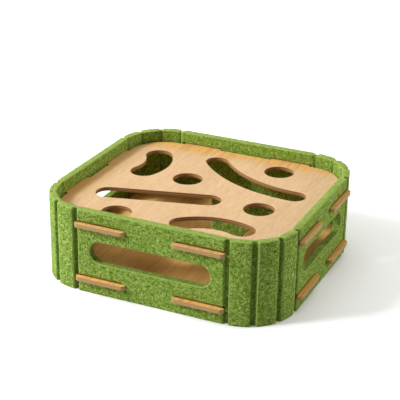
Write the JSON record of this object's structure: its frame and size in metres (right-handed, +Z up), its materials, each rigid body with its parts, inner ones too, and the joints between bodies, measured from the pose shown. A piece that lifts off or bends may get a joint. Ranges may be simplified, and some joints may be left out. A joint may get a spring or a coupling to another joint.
{
  "type": "pet puzzle toy",
  "caption": "Low square pet puzzle box: a thick green felt wall with grooved rounded corners, folded round two plywood boards on tabs, the upper one with paw holes and slots.",
  "frame": {"origin": "Middle of the footprint, on the surface that the felt wall stands on.", "axes": "X runs along the long front wall, the front faces -Y, and +Z points up out of the puzzle board."},
  "size_m": [0.312, 0.292, 0.1],
  "materials": {
    "felt": "heathered thick felt",
    "plywood": "bare sanded veneer"
  },
  "bodies": {
    "root": {"front_wall": "felt", "right_wall": "felt", "back_wall": "felt", "left_wall": "felt", "front_right_corner": "felt", "back_right_corner": "felt", "back_left_corner": "felt", "front_left_corner": "felt", "divider": "felt", "upper_board": "plywood", "lower_board": "plywood"}
  },
  "joints": []
}
